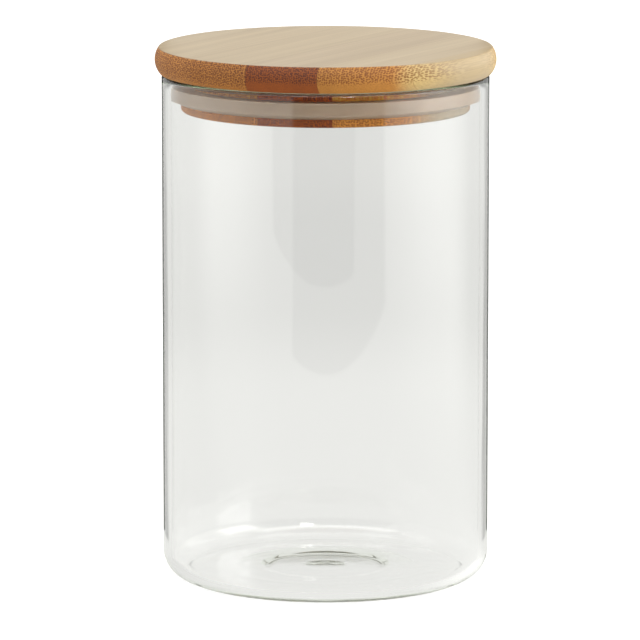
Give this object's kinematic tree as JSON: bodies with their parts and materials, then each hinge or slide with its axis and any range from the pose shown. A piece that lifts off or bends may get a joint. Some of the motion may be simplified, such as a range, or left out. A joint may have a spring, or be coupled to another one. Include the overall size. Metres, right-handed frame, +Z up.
{
  "type": "lidded glass canister",
  "caption": "Straight glass storage canister with a bamboo plug lid; a silicone ring in the plug seals the mouth, and the lid turns in it and lifts off.",
  "frame": {"origin": "centre of the jar's foot, on the surface it stands on", "axes": "+Z up along the jar's axis; -Y is the front, as the picture sees it"},
  "size_m": [0.1042, 0.1042, 0.164],
  "materials": {
    "glass": "clear, polished, very faint grey-green tint",
    "silicone": "translucent off-white silicone, satin",
    "bamboo_mid": "carbonised bamboo, oiled satin, mid brown",
    "bamboo_dark": "carbonised bamboo, oiled satin, dark brown",
    "bamboo_gold": "carbonised bamboo, oiled satin, golden",
    "bamboo_pale": "carbonised bamboo, oiled satin, pale"
  },
  "bodies": {
    "jar": {"glass_jar": "glass"},
    "seal": {"seal_ring": "silicone"},
    "lid": {"disc_stave_1": "bamboo_mid", "disc_stave_2": "bamboo_mid", "disc_stave_3": "bamboo_mid", "disc_stave_4": "bamboo_dark", "disc_stave_5": "bamboo_gold", "disc_stave_6": "bamboo_pale", "plug_stave_1": "bamboo_mid", "plug_stave_2": "bamboo_mid", "plug_stave_3": "bamboo_mid", "plug_stave_4": "bamboo_dark", "plug_stave_5": "bamboo_gold"}
  },
  "joints": [
    {"name": "lid_lift", "type": "slide", "parent": "jar", "child": "seal", "axis": [0, 0, 1], "range_m": [0, 0.12]},
    {"name": "lid_turn", "type": "hinge", "parent": "seal", "child": "lid", "pos_m": [0, 0, 0.15], "axis": [0, 0, 1], "continuous": true}
  ]
}
